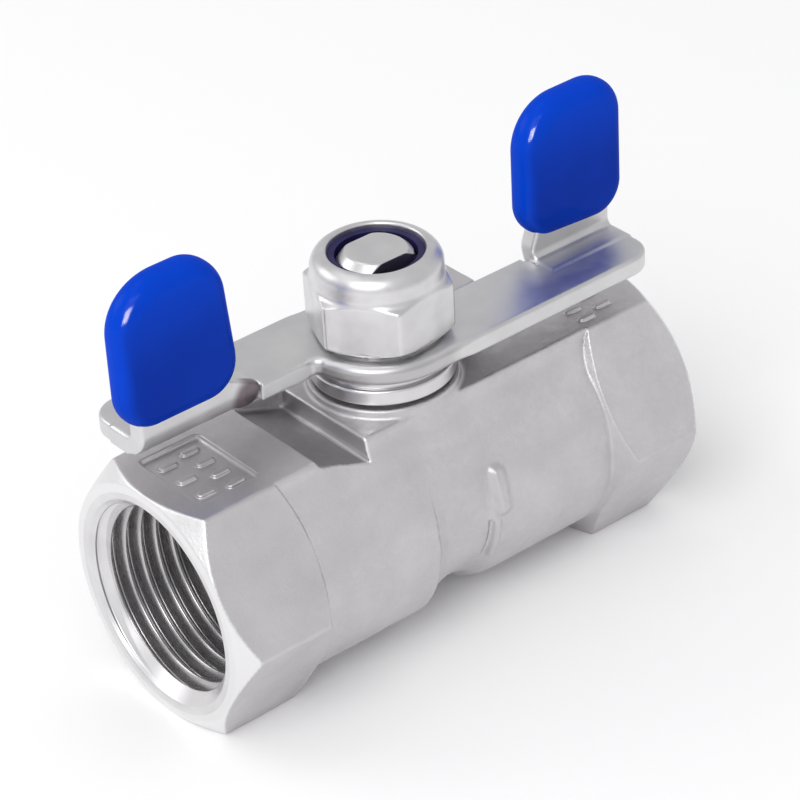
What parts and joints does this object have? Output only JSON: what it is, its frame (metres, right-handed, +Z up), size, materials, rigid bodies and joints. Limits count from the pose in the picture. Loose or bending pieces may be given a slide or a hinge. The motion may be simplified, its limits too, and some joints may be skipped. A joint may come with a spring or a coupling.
{
  "type": "water shutoff valve",
  "caption": "Small one-piece ball valve with female threaded hexagonal ends, a butterfly handle with two dipped upright wings, and a nylon lock nut on its stem.",
  "frame": {"origin": "under the stem, on the plane of the body's bottom flats", "axes": "+X along the pipe towards the end with the screwed-in insert, +Z up along the stem, +Y completes a right-handed frame"},
  "size_m": [0.0616, 0.0288, 0.048],
  "materials": {
    "cast_body": "bead-blasted cast stainless steel, satin",
    "turned_steel": "turned stainless steel",
    "ball_steel": "polished stainless steel",
    "sheet_steel": "tumbled stamped stainless sheet",
    "nut_steel": "bright plated steel",
    "seal_plastic": "white fluoropolymer",
    "dip_vinyl": "glossy blue dipped vinyl",
    "nylon_insert": "dark nylon"
  },
  "bodies": {
    "valve_body": {"body": "cast_body", "end_insert": "turned_steel", "insert_seal": "seal_plastic", "seat_inlet": "seal_plastic", "seat_outlet": "seal_plastic", "thrust_washer": "seal_plastic", "packing_lower": "seal_plastic", "packing_middle": "seal_plastic", "packing_upper": "seal_plastic", "gland_ring": "turned_steel"},
    "handle": {"stem": "turned_steel", "spring_washer": "turned_steel", "handle_plate": "sheet_steel", "grip_inlet": "dip_vinyl", "grip_outlet": "dip_vinyl", "lock_nut": "nut_steel", "nylon_ring": "nylon_insert"},
    "ball_body": {"ball": "ball_steel"}
  },
  "joints": [
    {"name": "handle_turn", "type": "hinge", "parent": "valve_body", "child": "handle", "pos_m": [0, 0, 0.0299], "axis": [0, 0, -1], "range_deg": [0, 90]},
    {"name": "ball_turn", "type": "hinge", "parent": "valve_body", "child": "ball_body", "pos_m": [0, 0, 0.0125], "axis": [0, 0, -1], "range_deg": [0, 90]}
  ],
  "couplings": [
    {"joint": "ball_turn", "follows": "handle_turn", "ratio": 1}
  ]
}
